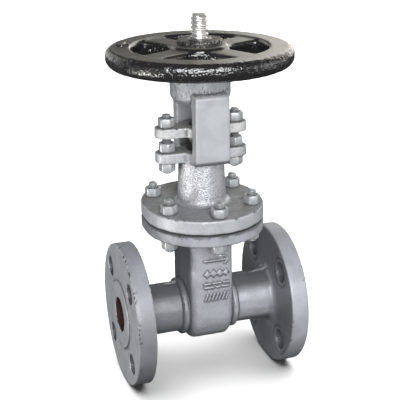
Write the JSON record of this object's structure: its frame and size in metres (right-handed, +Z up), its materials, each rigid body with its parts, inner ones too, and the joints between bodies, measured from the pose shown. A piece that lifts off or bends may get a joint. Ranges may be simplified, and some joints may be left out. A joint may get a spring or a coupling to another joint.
{
  "type": "gate valve",
  "caption": "Rising-stem gate valve with flanged ends, a bolted bonnet, an open yoke with a gland, and a round handwheel.",
  "frame": {"origin": "on the stem axis, level with the lowest point of the end flanges; the pipe axis is 77.5 mm above it", "axes": "+X along the pipe axis towards the outlet, +Z up along the stem towards the handwheel"},
  "size_m": [0.1926, 0.1926, 0.396],
  "materials": {
    "casting_paint": "aluminium-grey paint over a sand-cast surface, satin",
    "gland_paint": "lighter aluminium paint, satin",
    "stem_steel": "bright turned stainless steel",
    "trim_steel": "machined stainless steel",
    "fastener_steel": "grey plated steel, lightly overpainted",
    "gasket_graphite": "matt black graphite sheet",
    "packing_graphite": "braided graphite yarn, matt",
    "bronze": "machined bronze",
    "sleeve_iron": "machined nickel iron",
    "wheel_enamel": "gloss black enamel over a rough casting",
    "dark_steel": "dark oiled steel, worn bright on the edges"
  },
  "bodies": {
    "valve_body": {"body": "casting_paint", "seat_ring_inlet": "trim_steel", "seat_ring_outlet": "trim_steel", "bonnet_gasket": "gasket_graphite", "bonnet": "casting_paint", "backseat_bushing": "bronze", "packing_ring_1": "packing_graphite", "packing_ring_2": "packing_graphite", "packing_ring_3": "packing_graphite", "packing_ring_4": "packing_graphite", "packing_ring_5": "packing_graphite", "gland_stud_left": "fastener_steel", "gland_stud_right": "fastener_steel", "lug_nut_upper_left": "fastener_steel", "lug_nut_upper_right": "fastener_steel", "lug_nut_lower_left": "fastener_steel", "lug_nut_lower_right": "fastener_steel", "bonnet_stud_1": "fastener_steel", "bonnet_stud_2": "fastener_steel", "bonnet_stud_3": "fastener_steel", "bonnet_stud_4": "fastener_steel", "bonnet_stud_5": "fastener_steel", "bonnet_stud_6": "fastener_steel", "bonnet_nut_upper_1": "fastener_steel", "bonnet_nut_upper_2": "fastener_steel", "bonnet_nut_upper_3": "fastener_steel", "bonnet_nut_upper_4": "fastener_steel", "bonnet_nut_upper_5": "fastener_steel", "bonnet_nut_upper_6": "fastener_steel", "bonnet_nut_lower_1": "fastener_steel", "bonnet_nut_lower_2": "fastener_steel", "bonnet_nut_lower_3": "fastener_steel", "bonnet_nut_lower_4": "fastener_steel", "bonnet_nut_lower_5": "fastener_steel", "bonnet_nut_lower_6": "fastener_steel", "thrust_washer_lower": "bronze", "thrust_washer_upper": "bronze", "sleeve_retainer": "sleeve_iron"},
    "stem_and_gate": {"stem": "stem_steel", "wedge": "trim_steel"},
    "wheel": {"handwheel": "wheel_enamel", "yoke_sleeve": "sleeve_iron", "wheel_key": "dark_steel", "wheel_nut": "dark_steel"},
    "gland": {"gland_flange": "gland_paint", "gland_follower": "trim_steel"},
    "left_gland_nut": {"gland_nut_left": "fastener_steel"},
    "right_gland_nut": {"gland_nut_right": "fastener_steel"}
  },
  "joints": [
    {"name": "handwheel_turn", "type": "hinge", "parent": "valve_body", "child": "wheel", "pos_m": [0, 0, 0.3575], "axis": [0, 0, 1], "range_deg": [0, 3600]},
    {"name": "stem_rise", "type": "slide", "parent": "valve_body", "child": "stem_and_gate", "axis": [0, 0, 1], "range_m": [0, 0.045]},
    {"name": "left_gland_nut_turn", "type": "hinge", "parent": "gland", "child": "left_gland_nut", "pos_m": [-0.0375, 0, 0.287], "axis": [0, 0, 1], "range_deg": [-960, 0]},
    {"name": "right_gland_nut_turn", "type": "hinge", "parent": "gland", "child": "right_gland_nut", "pos_m": [0.0375, 0, 0.287], "axis": [0, 0, 1], "range_deg": [-960, 0]},
    {"name": "gland_press", "type": "slide", "parent": "valve_body", "child": "gland", "axis": [0, 0, -1], "range_m": [0, 0.004], "deforming": ["packing_ring_1", "packing_ring_2", "packing_ring_3", "packing_ring_4", "packing_ring_5"]}
  ],
  "couplings": [
    {"joint": "stem_rise", "follows": "handwheel_turn", "m_per_rad": 0.0007162},
    {"joint": "left_gland_nut_turn", "follows": "gland_press", "rad_per_m": -4188.8},
    {"joint": "right_gland_nut_turn", "follows": "gland_press", "rad_per_m": -4188.8}
  ]
}
